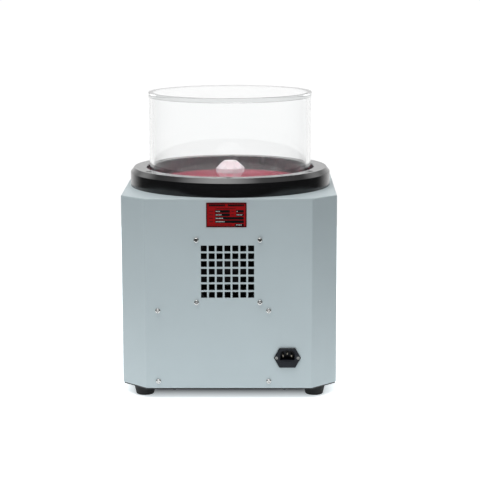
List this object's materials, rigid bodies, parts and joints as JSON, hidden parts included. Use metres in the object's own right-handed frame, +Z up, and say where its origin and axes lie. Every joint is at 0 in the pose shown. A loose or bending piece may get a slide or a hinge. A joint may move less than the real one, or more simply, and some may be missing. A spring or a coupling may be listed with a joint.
{
  "type": "magnetic tumbler",
  "caption": "Bench-top magnetic tumbler: chamfered sheet-metal cabinet, black collar on its deck, clear drum standing mouth down over its lid, rear vent, mains inlet and front controls.",
  "frame": {"origin": "on the bench top, on the common axis of the drum, the collar and the motor", "axes": "+Z up along the drum's axis, +Y out of the rear wall with the vent and mains inlet, -Y out of the front wall with the controls"},
  "size_m": [0.36, 0.3873, 0.499],
  "materials": {
    "powder_coat": "pale blue-grey powder coat, satin",
    "black_sheet": "black powder coat",
    "zinc_screw": "bright zinc",
    "black_screw": "black oxide",
    "foot_rubber": "matt black",
    "collar_plastic": "satin black",
    "floor_red": "glossy red",
    "clear_acrylic": "clear, polished",
    "steel": "machined",
    "cast_aluminium": "cast and machined",
    "lamination": "stacked sheet",
    "nickel": "nickel plated",
    "motor_paint": "black enamel",
    "black_plastic": "moulded, fine grain",
    "switch_plastic": "polished black",
    "rocker_red": "polished red",
    "brass": "bright",
    "board_green": "printed circuit board",
    "capacitor_sleeve": "shrink sleeve",
    "fuse_glass": "glass tube",
    "plate_red": "printed aluminium",
    "lead_sheath": "soft PVC"
  },
  "bodies": {
    "housing": {"housing_shell": "powder_coat", "base_plate": "black_sheet", "base_screws": "black_screw", "foot_screws": "zinc_screw", "collar_ring": "collar_plastic", "collar_screws": "black_screw", "floor_disc": "floor_red", "standoff_pillars": "steel", "motor_plate": "steel", "plate_bolts": "zinc_screw", "motor_can": "motor_paint", "motor_upper_bell": "cast_aluminium", "motor_lower_bell": "cast_aluminium", "motor_stator": "lamination", "upper_bearing": "steel", "lower_bearing": "steel", "fan_frame": "black_plastic", "fan_screws": "zinc_screw", "m4_nuts": "zinc_screw", "power_inlet": "black_plastic", "inlet_pins": "brass", "inlet_screws": "zinc_screw", "drive_carrier": "cast_aluminium", "drive_screws": "zinc_screw", "drive_board": "board_green", "drive_heatsink": "cast_aluminium", "drive_capacitors": "capacitor_sleeve", "drive_transformer": "lamination", "terminal_block": "board_green", "control_panel": "black_sheet", "panel_screws": "zinc_screw", "power_switch_body": "switch_plastic", "direction_switch_body": "switch_plastic", "timer_body": "black_plastic", "speed_pot": "steel", "bushing_nuts": "zinc_screw", "rating_plate": "plate_red", "mains_lead": "lead_sheath", "motor_lead": "lead_sheath", "foot_front_left": "foot_rubber", "foot_front_right": "foot_rubber", "foot_rear_left": "foot_rubber", "foot_rear_right": "foot_rubber"},
    "lid": {"lid_plate": "clear_acrylic", "lid_knob": "clear_acrylic"},
    "drum": {"drum_tube": "clear_acrylic", "drum_end_plate": "clear_acrylic"},
    "rotor": {"motor_shaft": "steel", "motor_armature": "lamination", "disc_hub": "steel", "magnet_disc": "cast_aluminium", "disc_magnets": "nickel", "hub_screws": "black_screw"},
    "fan": {"fan_impeller": "black_plastic"},
    "power_rocker": {"power_rocker": "rocker_red"},
    "direction_rocker": {"direction_rocker": "switch_plastic"},
    "timer_knob": {"timer_knob": "black_plastic"},
    "speed_knob": {"speed_knob": "black_plastic"},
    "fuse_drawer": {"fuse_drawer": "black_plastic", "glass_fuse": "fuse_glass"}
  },
  "joints": [
    {"name": "lid_lift", "type": "slide", "parent": "housing", "child": "lid", "axis": [0, 0, 1], "range_m": [0, 0.12]},
    {"name": "drum_lift", "type": "slide", "parent": "lid", "child": "drum", "axis": [0, 0, 1], "range_m": [0, 0.18]},
    {"name": "rotor_spin", "type": "hinge", "parent": "housing", "child": "rotor", "pos_m": [0, 0, 0.28], "axis": [0, 0, 1], "continuous": true},
    {"name": "fan_spin", "type": "hinge", "parent": "housing", "child": "fan", "pos_m": [0.001, 0.1625, 0.2165], "axis": [0, 1, 0], "continuous": true},
    {"name": "power_rock", "type": "hinge", "parent": "housing", "child": "power_rocker", "pos_m": [-0.09, -0.181, 0.232], "axis": [1, 0, 0], "range_deg": [0, 20]},
    {"name": "direction_rock", "type": "hinge", "parent": "housing", "child": "direction_rocker", "pos_m": [-0.054, -0.181, 0.232], "axis": [1, 0, 0], "range_deg": [-10, 10]},
    {"name": "timer_turn", "type": "hinge", "parent": "housing", "child": "timer_knob", "pos_m": [0.01, -0.19, 0.232], "axis": [0, 1, 0], "range_deg": [0, 300]},
    {"name": "speed_turn", "type": "hinge", "parent": "housing", "child": "speed_knob", "pos_m": [0.08, -0.19, 0.232], "axis": [0, 1, 0], "range_deg": [0, 270]},
    {"name": "fuse_pull", "type": "slide", "parent": "housing", "child": "fuse_drawer", "axis": [0, 1, 0], "range_m": [0, 0.018]}
  ]
}
